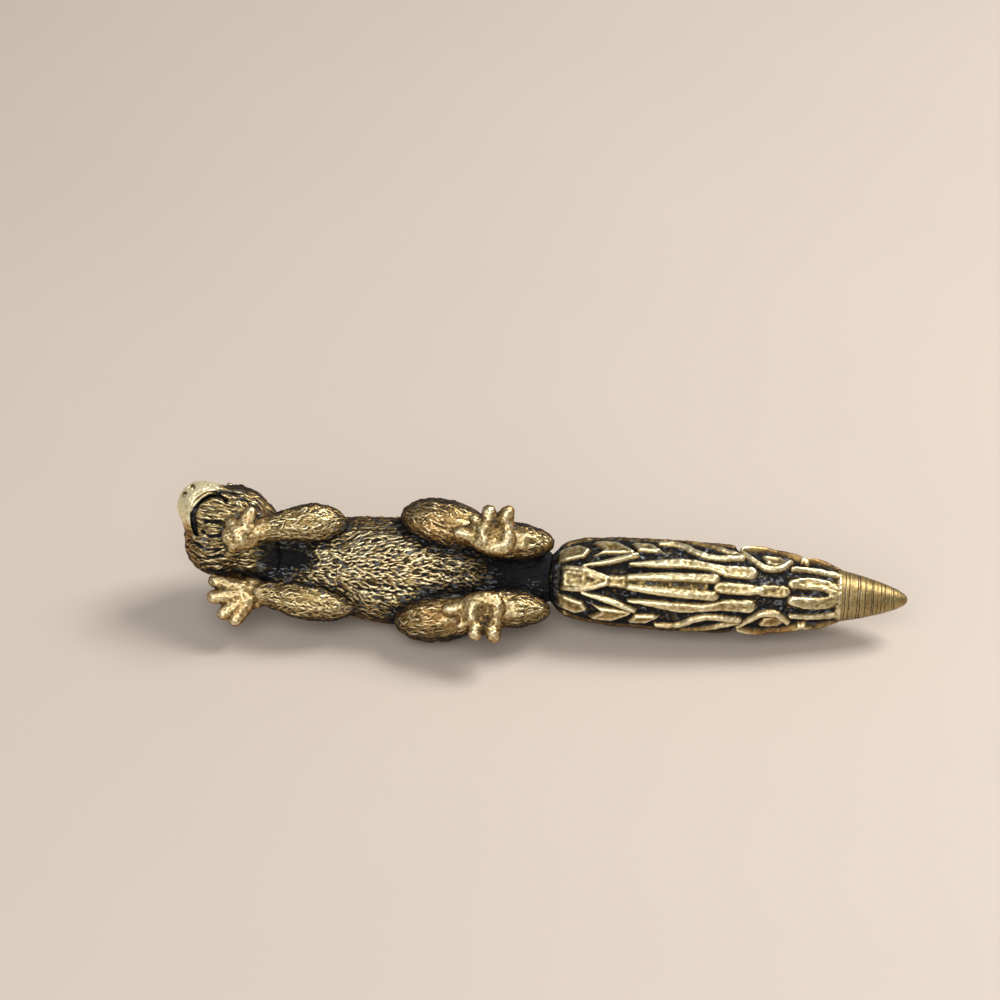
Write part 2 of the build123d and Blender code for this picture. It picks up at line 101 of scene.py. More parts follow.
def oval(x, y, centre, radii):
    """Oval patch seen from the front: 1 in its middle, and 0 from its rim outwards."""
    return bell(np.hypot((x - centre[0]) / radii[0], (y - centre[1]) / radii[1]))


def line_distance(places, line):
    """Distance of 2-D places from a line through points, and how far along it the nearest spot is."""
    line = np.asarray(line, float)
    best = np.full(len(places), np.inf)
    share = np.zeros(len(places))
    for i, (a, b) in enumerate(zip(line, line[1:])):
        course = b - a
        t = np.clip((places - a) @ course / (course @ course), 0.0, 1.0)
        gap = np.linalg.norm(places - a - t[:, None] * course, axis=1)
        closer = gap < best
        best[closer] = gap[closer]
        share[closer] = (i + t[closer]) / (len(line) - 1)
    return best, share


def eased(line, rounds=2):
    """Line with its corners cut, so that it bends evenly."""
    line = np.asarray(line, float)
    for _ in range(rounds):
        near, far = line[:-1], line[1:]
        cuts = np.stack((0.75 * near + 0.25 * far, 0.25 * near + 0.75 * far), 1)
        line = np.concatenate((line[:1], cuts.reshape(-1, line.shape[1]), line[-1:]))
    return line


def beads(start, end, first, last, count):
    """Row of putty balls from one spot to another, to thicken or round a form."""
    shares = np.linspace(0.0, 1.0, count)[:, None]
    spots = np.asarray(start) * (1.0 - shares) + np.asarray(end) * shares
    return list(zip(spots, first + (last - first) * shares[:, 0]))


def skinned(node, voxel, putty=()):
    """Fine closed skin over a CAD node and some balls of putty, in millimetres."""
    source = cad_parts[node].data.copy()
    source.transform(Matrix.Scale(MM, 4))
    stock = bmesh.new()
    stock.from_mesh(source)
    for centre, radius in putty:
        place = Matrix.Translation(Vector(in_row(centre)))
        bmesh.ops.create_icosphere(stock, subdivisions=2, radius=radius, matrix=place)
    stock.to_mesh(source)
    stock.free()
    carrier = bpy.data.objects.new(node + "_carrier", source)
    bpy.context.scene.collection.objects.link(carrier)
    skin = carrier.modifiers.new("Skin", "REMESH")
    skin.mode = "VOXEL"
    skin.voxel_size = voxel
    shaped = carrier.evaluated_get(bpy.context.evaluated_depsgraph_get())
    mesh = bpy.data.meshes.new_from_object(shaped)
    bpy.data.objects.remove(carrier)
    bpy.data.meshes.remove(source)
    return mesh


def lathed(along, reach, columns):
    """Closed skin of rings round the tail's axis, in millimetres."""
    turns = np.linspace(0.0, 2.0 * math.pi, columns, endpoint=False)
    left = np.outer(reach, np.sin(turns)).ravel()
    front = np.outer(reach, np.cos(turns)).ravel()
    points = in_row(np.stack((np.repeat(along, columns), left, front), 1))
    last = (len(along) - 1) * columns
    here = np.arange(last)
    beside = here - here % columns + (here + 1) % columns
    faces = np.stack((here, here + columns, beside + columns, beside), 1).tolist()
    faces += [list(range(columns)), list(range(last + columns - 1, last - 1, -1))]
    mesh = bpy.data.meshes.new("lathed")
    mesh.from_pydata(points.tolist(), [], faces)
    return mesh


class Clay:
    """Fine closed skin that stands for one CAD node, held in the figure's axes in millimetres."""

    def __init__(self, node, mesh):
        self.node = node
        self.mesh = mesh
        places = np.empty(len(mesh.vertices) * 3, np.float32)
        mesh.vertices.foreach_get("co", places)
        self.points = (places.reshape(-1, 3).astype(float) - HOME) @ AXES.T
        pairs = np.empty(len(mesh.edges) * 2, np.int32)
        mesh.edges.foreach_get("vertices", pairs)
        self.pairs = pairs.reshape(-1, 2)
        self.degree = np.bincount(pairs, minlength=len(self.points)).astype(float)
        self.polish = np.zeros(len(self.points))
        # Darkening laid on the piece: real stains together with painted shade
        self.stain_and_shade = np.zeros(len(self.points))
        # Reddish tint: warm patches of the metal together with a painted brown reflection on the sides
        self.warmth_and_reflection = np.zeros(len(self.points))

    def blurred(self, values, rounds, share=MELT):
        """Values averaged with their neighbours, by a share that may differ from point to point."""
        a, b = self.pairs.T
        share = np.broadcast_to(share, len(values))[:, None]
        values = values.copy()
        for _ in range(rounds):
            mean = np.empty_like(values)
            for k in range(values.shape[1]):
                total = np.bincount(a, values[b, k], len(values))
                total += np.bincount(b, values[a, k], len(values))
                mean[:, k] = total / self.degree
            values += share * (mean - values)
        return values

    def melt(self, rounds, share=MELT):
        """Rounds the form off, and swells it by what that took away."""
        before = self.points
        self.points = self.blurred(before, rounds, share)
        lost = ((before - self.points) * self.normals()).sum(1)
        self.raise_by(self.blurred(lost[:, None], rounds)[:, 0])

    def hammer(self, rng, where):
        """Leaves the small unevenness of a rough casting."""
        rough = rng.normal(0.0, 1.0, (len(self.points), 1))
        dents = BROAD_DENTS * self.blurred(rough, 10) + FINE_DENTS * self.blurred(rough, 2)
        self.raise_by(dents[:, 0] * where)

    def dent(self, centre, radius, depth):
        """Presses a round hollow into the front."""
        hollow = oval(self.points[:, 0], self.points[:, 1], centre, (radius, radius))
        self.raise_by(-depth * hollow * (self.normals()[:, 2] > 0.1))

    def crease(self, line, width, depth):
        """Cuts a groove along a line of places on the front, or raises a welt for a negative depth."""
        where = smoothstep(0.0, 0.3, self.normals()[:, 2])
        gap, share = line_distance(self.points[:, :2], eased(line))
        fade = smoothstep(0.0, 0.12, share) * smoothstep(0.0, 0.12, 1.0 - share)
        self.raise_by(-depth * bell(gap / (width / 2)) * (0.3 + 0.7 * fade) * where)

    def normals(self):
        """Outward directions at the points, in the figure's axes."""
        self.mesh.vertices.foreach_set("co", in_row(self.points).astype(np.float32).ravel())
        self.mesh.update()
        out = np.empty(len(self.points) * 3, np.float32)
        self.mesh.vertex_normals.foreach_get("vector", out)
        return out.reshape(-1, 3).astype(float) @ AXES.T

    def raise_by(self, amount):
        """Moves the points outwards."""
        self.points += self.normals() * amount[:, None]

    def seam(self, others, reach):
        """How close each point lies to other nodes: 1 where they meet, 0 from a reach outwards."""
        gap = np.full(len(self.points), reach)
        places = [Vector(place) for place in in_row(self.points)]
        for other in others:
            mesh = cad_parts[other].data
            corners = [vertex.co * MM for vertex in mesh.vertices]
            tree = BVHTree.FromPolygons(corners, [face.vertices for face in mesh.polygons])
            for i, place in enumerate(places):
                nearest = tree.find_nearest(place, reach)
                if nearest[0]:
                    gap[i] = min(gap[i], nearest[3])
        return smoothstep(reach, 0.0, gap)

    def paint_side_shade(self, where=1.0):
        """Paints shade and a brown reflection on the sides, so they are browner and darker than the rubbed
        front, and the back half as much.
        """
        facing = self.blurred(self.normals(), 8)[:, 2]
        sides = smoothstep(0.9, 0.1, facing) * (1.0 - 0.5 * smoothstep(0.1, -0.5, facing)) * where
        # Painted shade and painted brown reflection, strongest where the surface turns away from the front
        self.stain_and_shade += SIDE_SHADE * sides
        self.warmth_and_reflection += SIDE_BROWN_REFLECTION * sides

    def tone(self, fine, broad):
        """How high a point lies beside its surroundings: 0 in a recess, 0.5 on a plain, 1 on a ridge."""
        normals = self.normals()
        near = self.blurred(self.points, 4)
        far = self.blurred(near, 26)
        lift_near = ((self.points - near) * normals).sum(1)
        lift_far = ((self.points - far) * normals).sum(1)
        # The stains and painted shade laid on the piece darken the tone further
        plain = np.clip(0.5 + lift_near / fine + lift_far / broad - 0.5 * self.stain_and_shade, 0.0, 1.0)
        return plain * (1.0 - np.clip(self.stain_and_shade, 0.0, 1.0))

    def show(self, name, material, tone):
        """Puts the piece in the scene in place of its CAD node."""
        mesh = self.mesh
        mesh.vertices.foreach_set("co", (in_row(self.points) / MM).astype(np.float32).ravel())
        mesh.update()
        mesh.shade_smooth()
        mesh.name = name
        for title, values in (("tone", tone), ("polish", self.polish), ("warmth_and_reflection", self.warmth_and_reflection)):
            kept = mesh.attributes.new(title, "FLOAT", "POINT")
            kept.data.foreach_set("value", values.astype(np.float32))
        mesh.materials.clear()
        mesh.materials.append(material)
        piece = bpy.data.objects.new(name, mesh)
        bpy.context.scene.collection.objects.link(piece)
        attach(piece, "root")
        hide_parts(self.node)


def fur(clay, rng, coat, flow, weight):
    """Lays one coat of raised hair strokes along a flow, thickest where the weight is highest."""
    count, length_share, width_share, height_share, stray = coat
    length = mm(sizes().hair_length) * length_share
    width = mm(sizes().hair_width) * width_share
    height = mm(sizes().hair_height) * height_share
    normals = clay.normals()
    roots = rng.choice(len(clay.points), count, p=weight / weight.sum())
    tree = kdtree.KDTree(len(clay.points))
    for i, place in enumerate(clay.points):
        tree.insert(place, i)
    tree.balance()
    rise = np.zeros(len(clay.points))
    for root in roots:
        centre, out = clay.points[root], normals[root]
        course = flow(centre) + rng.normal(0.0, stray, 3)
        course -= out * (course @ out)
        course /= np.linalg.norm(course) + 1e-9
        side = np.cross(out, course)
        half = 0.5 * length * rng.uniform(0.7, 1.35)
        thick = 0.5 * width * rng.uniform(0.75, 1.3)
        bend = thick * rng.uniform(-0.9, 0.9)
        found = np.array([i for _, i, _ in tree.find_range(centre, half * 1.05)])
        offset = clay.points[found] - centre
        u = offset @ course / half
        v = (offset @ side - bend * (u * u - 0.3)) / (thick * (1.05 - 0.4 * u))
        crest = np.clip(1.0 - u ** 4, 0.0, None) * np.clip(1.0 - v * v, 0.0, None)
        crest *= (normals[found] @ out > 0.2) * (0.75 + 0.25 * u) * rng.uniform(0.7, 1.15)
        rise[found] = np.maximum(rise[found], crest * weight[found])
    clay.raise_by(height * (rise - 0.5 * weight))


class Socket:
    """A shader value that ordinary operators combine."""

    def __init__(self, tree, out=None):
        self.tree = tree
        self.out = out

    def node(self, kind, inputs, settings=None, output=0):
        """Adds a node, gives it its settings, joins or sets its inputs and returns one of its outputs."""
        made = self.tree.nodes.new(kind)
        for title, value in (settings or {}).items():
            if title == "stops":
                elements = made.color_ramp.elements
                for i, (place, colour) in enumerate(value):
                    element = elements[i] if i < len(elements) else elements.new(place)
                    element.position = place
                    element.color = (*colour, 1.0)
            else:
                setattr(made, title, value)
        for title, value in inputs.items():
            if isinstance(value, Socket):
                self.tree.links.new(value.out, made.inputs[title])
            else:
                made.inputs[title].default_value = value
        return Socket(self.tree, made.outputs[output])

    def math(self, operation, first, second):
        """One step of arithmetic."""
        return self.node("ShaderNodeMath", {0: first, 1: second}, {"operation": operation})

    def __add__(self, other):
        return self.math("ADD", self, other)

    def __radd__(self, other):
        return self.math("ADD", other, self)

    def __sub__(self, other):
        return self.math("SUBTRACT", self, other)

    def __rsub__(self, other):
        return self.math("SUBTRACT", other, self)

    def __mul__(self, other):
        return self.math("MULTIPLY", self, other)

    def __rmul__(self, other):
        return self.math("MULTIPLY", other, self)

    def span(self, source, target):
        """The value carried from one range to another and held at its ends."""
        limits = {"From Min": source[0], "From Max": source[1], "To Min": target[0], "To Max": target[1]}
        return self.node("ShaderNodeMapRange", {"Value": self, **limits})

    def ramp(self, *stops):
        """Colour that runs through stops of place and colour."""
        return self.node("ShaderNodeValToRGB", {"Fac": self}, {"stops": stops})

    def mix(self, first, second):
        """Colour between two others, with this value as the second one's share."""
        colours = {"Factor": self, 6: first, 7: second}
        return self.node("ShaderNodeMix", colours, {"data_type": "RGBA"}, 2)

    def feed(self, shader, title):
        """Joins the value to an input of a shader."""
        self.tree.links.new(self.out, shader.inputs[title])


def noise(tree, scale, detail):
    """Noise fixed to the object."""
    place = Socket(tree).node("ShaderNodeTexCoord", {}, output="Object")
    return place.node("ShaderNodeTexNoise", {"Vector": place, "Scale": scale, "Detail": detail})


def layer(tree, title):
    """A value kept at the points of the mesh."""
    return Socket(tree).node("ShaderNodeAttribute", {}, {"attribute_name": title}, "Fac")


def brass(name, wear, grain):
    """Antiqued brass: dark patina in the recesses, olive gold between, pale gold where it is rubbed,
    darkened further where the tone holds painted shade, with grey flecks painted into the recesses for
    glints.
    """
    settings = bpy.context.scene.figurine_colours
    material = bpy.data.materials.new(name)
    material.use_nodes = True
    tree = material.node_tree
    shader = tree.nodes["Principled BSDF"]
    shader.inputs["Specular IOR Level"].default_value = 0.15
    polish = layer(tree, "polish")
    blotch = noise(tree, 260.0, 3.0)
    speck = noise(tree, 2600.0, 2.0)
    # The tone holds the patina of the recesses together with painted shade
    level = layer(tree, "tone") + (blotch - 0.5) * 0.34 + (speck - 0.5) * 0.3 + polish * 0.2 + wear
    plain = level.ramp(
        (0.10, settings.patina),
        (0.34, settings.shade),
        (0.56, settings.metal),
        (0.90, settings.rubbed),
    )
    reddish = level.ramp((0.2, settings.patina), (0.6, settings.warm_and_reflected), (1.0, settings.rubbed))
    # Reddish share: warm patches of the metal and the painted brown reflection on the sides
    warmth_and_reflection = layer(tree, "warmth_and_reflection") + noise(tree, 110.0, 2.0).span((0.5, 0.7), (0.0, 0.4))
    recess = level.span((0.1, 0.2), (0.0, 1.0)) * level.span((0.22, 0.36), (1.0, 0.0))
    # Painted glints: grey flecks in the recesses standing for glints on the dark patina, fewer where the
    # metal is warm
    painted_glints = noise(tree, 1000.0, 3.0).span((0.50, 0.64), (0.0, 0.9)) * warmth_and_reflection.span((0.1, 0.4), (1.0, 0.15))
    tint = warmth_and_reflection.mix(plain, reddish)
    (painted_glints * recess).mix(tint, (*settings.glint_grey, 1.0)).feed(shader, "Base Color")
    rough = level.span((0.2, 0.9), (0.62, settings.gloss))
    (rough + (speck - 0.5) * 0.12).feed(shader, "Roughness")
    matt = polish.span((0.7, 1.0), (1.0, 0.6))
    (level.span((0.1, 0.4), (0.35, 1.0)) * matt).feed(shader, "Metallic")
    uneven = {"Height": speck + blotch * 0.6, "Strength": grain, "Distance": 0.0001}
    level.node("ShaderNodeBump", uneven).feed(shader, "Normal")
    return material


class FigurineColours(bpy.types.PropertyGroup):
    """Colours of the metal and the stage."""

    patina: bpy.props.FloatVectorProperty(
        name="Patina", description="Deepest recesses", default=(0.010, 0.010, 0.012), size=3, subtype="COLOR"
    )
    # Grey of the flecks painted in the recesses as glints on the dark patina
    glint_grey: bpy.props.FloatVectorProperty(
        name="Ash",
        description="Grey flecks in the recesses",
        default=(0.28, 0.31, 0.35),
        size=3,
        subtype="COLOR",
    )
    # Reddish patches of the metal, also the brown of the painted reflection on the sides
    warm_and_reflected: bpy.props.FloatVectorProperty(
        name="Warm",
        description="Reddish patches of the metal",
        default=(0.50, 0.27, 0.085),
        size=3,
        subtype="COLOR",
    )
    shade: bpy.props.FloatVectorProperty(
        name="Shade", description="Shallow recesses", default=(0.060, 0.044, 0.022), size=3, subtype="COLOR"
    )
    metal: bpy.props.FloatVectorProperty(
        name="Metal", description="Plain surfaces", default=(0.36, 0.26, 0.105), size=3, subtype="COLOR"
    )
    rubbed: bpy.props.FloatVectorProperty(
        name="Rubbed", description="Worn ridges", default=(0.88, 0.79, 0.51), size=3, subtype="COLOR"
    )
    gloss: bpy.props.FloatProperty(
        name="Gloss",
        description="Roughness of the worn ridges",
        default=0.33,
        min=0.05,
        max=1.0,
        subtype="FACTOR",
    )
    floor: bpy.props.FloatVectorProperty(
        name="Floor", description="Stage floor", default=(0.60, 0.53, 0.465), size=3, subtype="COLOR"
    )


class FigurineSizes(bpy.types.PropertyGroup):
    """Sizes of the carving, as lengths in the scene's metres."""

    skin: bpy.props.FloatProperty(
        name="Skin", description="Mesh pitch of the torso", default=0.00015, precision=6, unit="LENGTH"
    )
    limb_skin: bpy.props.FloatProperty(
        name="Limb skin",
        description="Mesh pitch of head and limbs",
        default=0.000105,
        precision=6,
        unit="LENGTH",
    )
    tail_skin: bpy.props.FloatProperty(
        name="Tail skin", description="Mesh pitch of the tail", default=0.000128, precision=6, unit="LENGTH"
    )
    relief: bpy.props.FloatProperty(
        name="Relief", description="Depth of the tail's ground", default=0.0009, precision=6, unit="LENGTH"
    )
    ring_depth: bpy.props.FloatProperty(
        name="Ring depth",
        description="Depth of the cone's rings",
        default=0.000045,
        precision=6,
        unit="LENGTH",
    )
    hair_width: bpy.props.FloatProperty(
        name="Hair width", description="Width of a fur stroke", default=0.00036, precision=6, unit="LENGTH"
    )
    hair_length: bpy.props.FloatProperty(
        name="Hair length", description="Length of a fur stroke", default=0.0015, precision=6, unit="LENGTH"
    )
    hair_height: bpy.props.FloatProperty(
        name="Hair height", description="Height of a fur stroke", default=0.0002, precision=6, unit="LENGTH"
    )


def sizes():
    """The scene's carving sizes."""
    return bpy.context.scene.figurine_sizes


def furred_brass():
    """The metal shared by the furry pieces."""
    return bpy.data.materials.get("antique_fur") or brass("antique_fur", 0.0, 0.35)


# Coats of hair strokes: how many, their length, width and height as shares of the set sizes, and
# how far they stray from the flow
TORSO_COATS = ((2600, 0.95, 1.1, 1.0, 0.22), (5000, 0.7, 0.85, 0.8, 0.3))
HEAD_COATS = ((420, 1.5, 1.5, 1.1, 0.2), (900, 0.8, 0.9, 0.6, 0.2))
ARM_COATS = ((240, 1.0, 1.2, 0.7, 0.3), (600, 0.6, 0.8, 0.5, 0.4))
LEG_COATS = ((380, 1.1, 1.2, 0.7, 0.3), (900, 0.6, 0.8, 0.5, 0.4))

TORSO_LENGTH = 36.2
# Hollows of chest and crotch and the fullness of the right flank: centre and radii, then how far they go
CHEST = ((-34.4, 0.2), (4.6, 3.2))
CROTCH = ((-3.6, 0.5), (7.2, 3.4))
FLANK = ((-20.0, -6.0), (8.0, 4.0))
CHEST_DEPTH = 1.3
CROTCH_DEPTH = 0.5
FLANK_RISE = 0.9


def torso_flow(place):
    """Fur of the torso runs to the tail and spreads from the belly's middle."""
    return np.array((1.0, 0.05 * place[1], -0.15))


class FIGURINE_OT_torso(bpy.types.Operator):
    """Carve the torso's fur"""

    bl_idname = "figurine.torso"
    bl_label = "Torso"

    def execute(self, context):
        rng = np.random.default_rng(SEED)
        clay = Clay("torso", skinned("torso", mm(sizes().skin)))
        along = clay.points[:, 0]
        ends = smoothstep(0.0, 1.6, np.minimum(along + TORSO_LENGTH, -along))
        clay.melt(24, MELT * ends)
        x, y, z = clay.points.T
        front = smoothstep(0.0, 1.5, z)
        chest = oval(x, y, *CHEST) * front
        crotch = oval(x, y, *CROTCH) * front
        flank = oval(x, y, *FLANK) * smoothstep(-3.0, 0.0, z)
        clay.raise_by(FLANK_RISE * flank - CHEST_DEPTH * chest - CROTCH_DEPTH * crotch)
        hollow = np.maximum(chest, crotch)
        # Painted shade: the chest and crotch hollows, the rump where it meets the tail, and the seams with
        # legs and arms are darkened
        clay.stain_and_shade = 0.92 * hollow + 0.8 * smoothstep(-1.8, -0.4, x)
        clay.stain_and_shade += 0.5 * clay.seam(("left_leg", "right_leg"), 1.8)
        clay.stain_and_shade += 0.3 * clay.seam(("left_arm", "right_arm"), 1.4)
        clay.paint_side_shade()
        for coat in TORSO_COATS:
            fur(clay, rng, coat, torso_flow, 1.0 - 0.4 * hollow)
        clay.show("torso_fur", furred_brass(), clay.tone(0.13, 0.7))
        return {"FINISHED"}


# Lines of the face, as places along and to the left
MOUTH = ((-43.4, 8.2), (-44.8, 7.9), (-45.8, 7.1), (-46.3, 5.8), (-46.45, 4.8), (-46.1, 3.4))
MOUTH_WIDTH = 0.8
MOUTH_DEPTH = 0.6
CHEEK_CREASES = (
    ((-45.2, 3.1), (-43.9, 2.3), (-42.0, 3.0)),
    ((-44.9, 4.4), (-43.6, 4.3), (-42.6, 4.6)),
    ((-46.2, 1.6), (-44.6, 0.6), (-42.4, 0.8)),
    ((-46.0, -0.4), (-44.2, -0.4), (-42.0, 0.0)),
    ((-45.6, -1.4), (-43.8, -1.3), (-41.6, -1.2)),
    ((-44.6, -2.4), (-43.0, -2.4), (-41.0, -2.2)),
    ((-43.4, 8.6), (-41.0, 8.3), (-38.6, 6.6)),
)
CREASE_WIDTH = 0.5
CREASE_DEPTH = 0.24
NOSTRILS = ((-46.85, 8.7), (-47.8, 7.75))
NOSTRIL_RADIUS = 0.55
NOSTRIL_DEPTH = 0.6
# Middle and reach of the furry chin, outside which the muzzle is bare
JAW = (-42.6, 4.6)
JAW_REACH = 3.6
# Filled cheek below the muzzle
JOWL = ((-47.2, 4.0, 0.5), (-46.9, 1.6, 0.5))
JOWL_RADIUS = 1.2
# How far neck and muzzle are pushed towards the tail
NECK_TUCK = 1.0
MUZZLE_TUCK = 0.4


def head_flow(place):
    """Fur of the head sweeps back from the muzzle and round under the cheek."""
    low = smoothstep(6.0, 1.0, place[1])
    return np.array((1.0, 0.15 - 0.35 * (1.0 - low), 0.0))


class FIGURINE_OT_head(bpy.types.Operator):
    """Carve the head"""

    bl_idname = "figurine.head"
    bl_label = "Head"

    def execute(self, context):
        rng = np.random.default_rng(SEED + 1)
        putty = beads(*JOWL, JOWL_RADIUS, JOWL_RADIUS, 5)
        clay = Clay("head", skinned("head", mm(sizes().limb_skin), putty))
        clay.melt(40, MELT * smoothstep(-36.4, -38.0, clay.points[:, 0]))
        x, y, z = clay.points.T
        clay.points[:, 0] += NECK_TUCK * smoothstep(-38.4, -36.4, x)
        clay.points[:, 0] += MUZZLE_TUCK * smoothstep(-43.0, -46.0, x) * smoothstep(1.0, 4.0, y)
        gap, _ = line_distance(clay.points[:, :2], eased(MOUTH))
        front = smoothstep(0.0, 0.3, clay.normals()[:, 2])
        beyond = smoothstep(JAW_REACH - 0.1, JAW_REACH + 0.3, np.hypot(x - JAW[0], y - JAW[1]))
        nose = beyond * smoothstep(2.6, 4.6, y) * smoothstep(-42.6, -44.0, x) * smoothstep(-4.0, -1.0, z)
        clay.crease(MOUTH, MOUTH_WIDTH, MOUTH_DEPTH)
        for line in CHEEK_CREASES:
            clay.crease(line, CREASE_WIDTH, CREASE_DEPTH)
        for spot in NOSTRILS:
            clay.dent(spot, NOSTRIL_RADIUS, NOSTRIL_DEPTH)
        clay.hammer(rng, nose)
        clay.polish = nose
        pits = [np.hypot(x - spot[0], y - spot[1]) for spot in NOSTRILS]
        clay.stain_and_shade = 1.2 * bell(np.minimum(gap, np.minimum(*pits)) / NOSTRIL_RADIUS) * front
        # Painted shade: the chest hollow under the neck and the seams with the arms are darkened; the
        # polished nose is lightened
        clay.stain_and_shade += 0.9 * oval(x, y, *CHEST) - 0.3 * nose
        clay.stain_and_shade += 0.45 * clay.seam(("left_arm", "right_arm"), 1.4)
        clay.warmth_and_reflection = 0.4 * smoothstep(6.2, 5.0, y) * smoothstep(-46.2, -47.0, x)
        clay.paint_side_shade(1.0 - nose)
        furry = np.clip((1.0 - 0.97 * nose) * smoothstep(0.2, 0.6, gap), 0.01, 1.0)
        for coat in HEAD_COATS:
            fur(clay, rng, coat, head_flow, furry)
        clay.show("head_fur", furred_brass(), clay.tone(0.14, 0.8))
        return {"FINISHED"}


# Edge of the right hand that lies against the head
WEB = ((-43.0, -3.1, 4.3), (-40.4, -3.0, 3.6))
# Arms: seed, node, middle of the palm, finger ends from it, putty along its edge, and how the fur lies
ARMS = (
    (
        2,
        "left_arm",
        np.array((-39.53, 3.04, 7.89)),
        np.array(((0.83, 3.19, 0.11), (-1.76, 1.32, 0.17), (-2.2, -0.33, 0.11), (-1.32, -1.87, 0.0))),
        [],
        np.array((1.0, 0.1, -0.3)),
    ),
    (
        3,
        "right_arm",
        np.array((-38.53, -4.42, 4.42)),
        np.array(((-5.5, 1.49, 0.44), (-5.39, -0.99, 0.99), (-3.69, -3.3, 0.99), (-1.98, -4.18, 0.77))),
        beads(*WEB, 1.0, 1.1, 5),
        np.array((1.0, -0.12, -0.1)),
    ),
)
# Radius of a finger at the palm and at its tip
FINGER_ROOT = 1.5
FINGER_TIP = 0.95


class FIGURINE_OT_arms(bpy.types.Operator):
    """Carve arms and hands"""

    bl_idname = "figurine.arms"
    bl_label = "Arms"

    def execute(self, context):
        for seed, node, palm, fingers, edge, lie in ARMS:
            rng = np.random.default_rng(SEED + seed)
            putty = []
            for end in fingers:
                putty += beads(palm + 0.25 * end, palm + 0.86 * end, FINGER_ROOT, FINGER_TIP, 8)
            clay = Clay(node, skinned(node, mm(sizes().limb_skin), putty + edge))
            reach = np.linalg.norm(clay.points - palm - 0.5 * np.mean(fingers, 0), axis=1)
            hand = smoothstep(4.4, 3.2, reach)
            clay.melt(30, MELT * (1.0 - hand))
            clay.melt(12)
            clay.hammer(rng, hand)
            clay.polish = 0.5 * hand
            # Painted shade where the arm meets torso and head
            clay.stain_and_shade = 0.4 * clay.seam(("torso", "head"), 1.2)
            clay.warmth_and_reflection = 0.15 * hand
            clay.paint_side_shade()
            for coat in ARM_COATS:
                fur(clay, rng, coat, lambda _: lie, np.clip(1.0 - hand, 0.02, 1.0))
            clay.show(node + "_fur", furred_brass(), clay.tone(0.15, 0.55))
        return {"FINISHED"}


# Feet: middle of the left sole and how far the right one leads
SOLE = np.array((-7.78, 4.754, 7.61))
SOLE_LEAD = 0.79
# Toes from the middle of the sole: end along and outwards, and thickness of the tip
TOES = ((-4.75, 0.13, 0.75), (-2.64, 2.51, 0.7), (-0.53, 4.09, 0.95), (2.11, 4.09, 1.0))
TOE_ROOT = 1.15
# Where toes are drawn in, out from the sole's middle, and by what share
TOE_START = 1.6
TOE_DRAW = 0.22
# Welts of the sole: the first toe's long rim round to the heel, and a ridge up to each of two toes
SOLE_WELTS = (
    ((-4.4, 0.6), (-2.6, -0.8), (-0.7, -2.0), (2.6, -2.0)),
    ((-0.9, -1.2), (-0.9, 1.0), (-0.6, 3.8)),
    ((2.3, -1.4), (1.9, 1.0), (2.0, 3.8)),
)
WELT_WIDTH = 2.0
WELT_HEIGHT = 0.22
# Scoop between the welts
SCOOP_RADIUS = 1.9
SCOOP_DEPTH = 0.7


class FIGURINE_OT_legs(bpy.types.Operator):
    """Carve legs and feet"""

    bl_idname = "figurine.legs"
    bl_label = "Legs"

    def execute(self, context):
        for seed, node, side, lead in ((4, "left_leg", 1.0, 0.0), (5, "right_leg", -1.0, SOLE_LEAD)):
            rng = np.random.default_rng(SEED + seed)
            sole = SOLE * (1.0, side, 1.0) - (lead, 0.0, 0.0)
            putty = []
            for along, out, radius in TOES:
                toe = np.array((along, side * out, 0.35))
                putty += beads(sole + 0.2 * toe, sole + 0.9 * toe, TOE_ROOT, radius, 9)
            clay = Clay(node, skinned(node, mm(sizes().limb_skin), putty))
            x, y, z = clay.points.T
            reach = np.hypot((x - sole[0]) / 5.2, (y - sole[1] - side * 0.9) / 4.6)
            foot = smoothstep(1.05, 0.85, reach) * smoothstep(5.4, 6.4, z)
            clay.melt(30, MELT * (1.0 - foot))
            clay.melt(12)
            clay.polish = 0.5 * foot
            for line in SOLE_WELTS:
                welt = [sole[:2] + (along, side * out) for along, out in line]
                clay.crease(welt, WELT_WIDTH, -WELT_HEIGHT)
            clay.dent(sole[:2] + (0.7, side * 0.5), SCOOP_RADIUS, SCOOP_DEPTH)
            past = np.maximum(side * (clay.points[:, 1] - sole[1]) - TOE_START, 0.0)
            clay.points[:, 1] -= side * TOE_DRAW * past * foot
            clay.points = clay.blurred(clay.points, 14, MELT * foot)
            clay.hammer(rng, foot)
            clay.stain_and_shade = 0.3 * oval(x, y, sole[:2] + (0.7, side * 2.6), (0.8, 1.6)) * foot
            # Painted shade where the leg meets the torso
            clay.stain_and_shade += 0.5 * clay.seam(("torso",), 1.6)
            thigh = oval(x, y, sole[:2] - (7.5, 0.0), (5.0, 4.0)) * smoothstep(-1.0, 2.0, z)
            clay.warmth_and_reflection = 0.45 * thigh + 0.1 * foot
            clay.paint_side_shade()
            lie = np.array((1.0, -side * 0.22, 0.0))
            for coat in LEG_COATS:
                fur(clay, rng, coat, lambda _: lie, np.clip(1.0 - 1.1 * foot, 0.02, 1.0))
            clay.show(node + "_fur", furred_brass(), clay.tone(0.15, 0.55))
        return {"FINISHED"}


TAIL_LENGTH = 37.3
TAIL_RADIUS = 6.2
# Tail outline: share along, radius, and how deep the ground lies, as shares
TAIL_OUTLINE = np.array((
    (0.0, 0.52, 0.2), (0.02, 0.68, 0.5), (0.05, 0.82, 0.9), (0.11, 0.92, 1.0), (0.22, 0.98, 1.0),
    (0.42, 1.0, 1.0), (0.62, 0.94, 1.0), (0.80, 0.83, 1.0), (0.94, 0.65, 0.9), (1.0, 0.54, 0.3),
))
# How much wider than its crest a bar's low skirt is, and how high the skirt stands
SKIRT = 1.8
SKIRT_HEIGHT = 0.45
# How deep broad bars and leaves are dished
DISH = 0.3
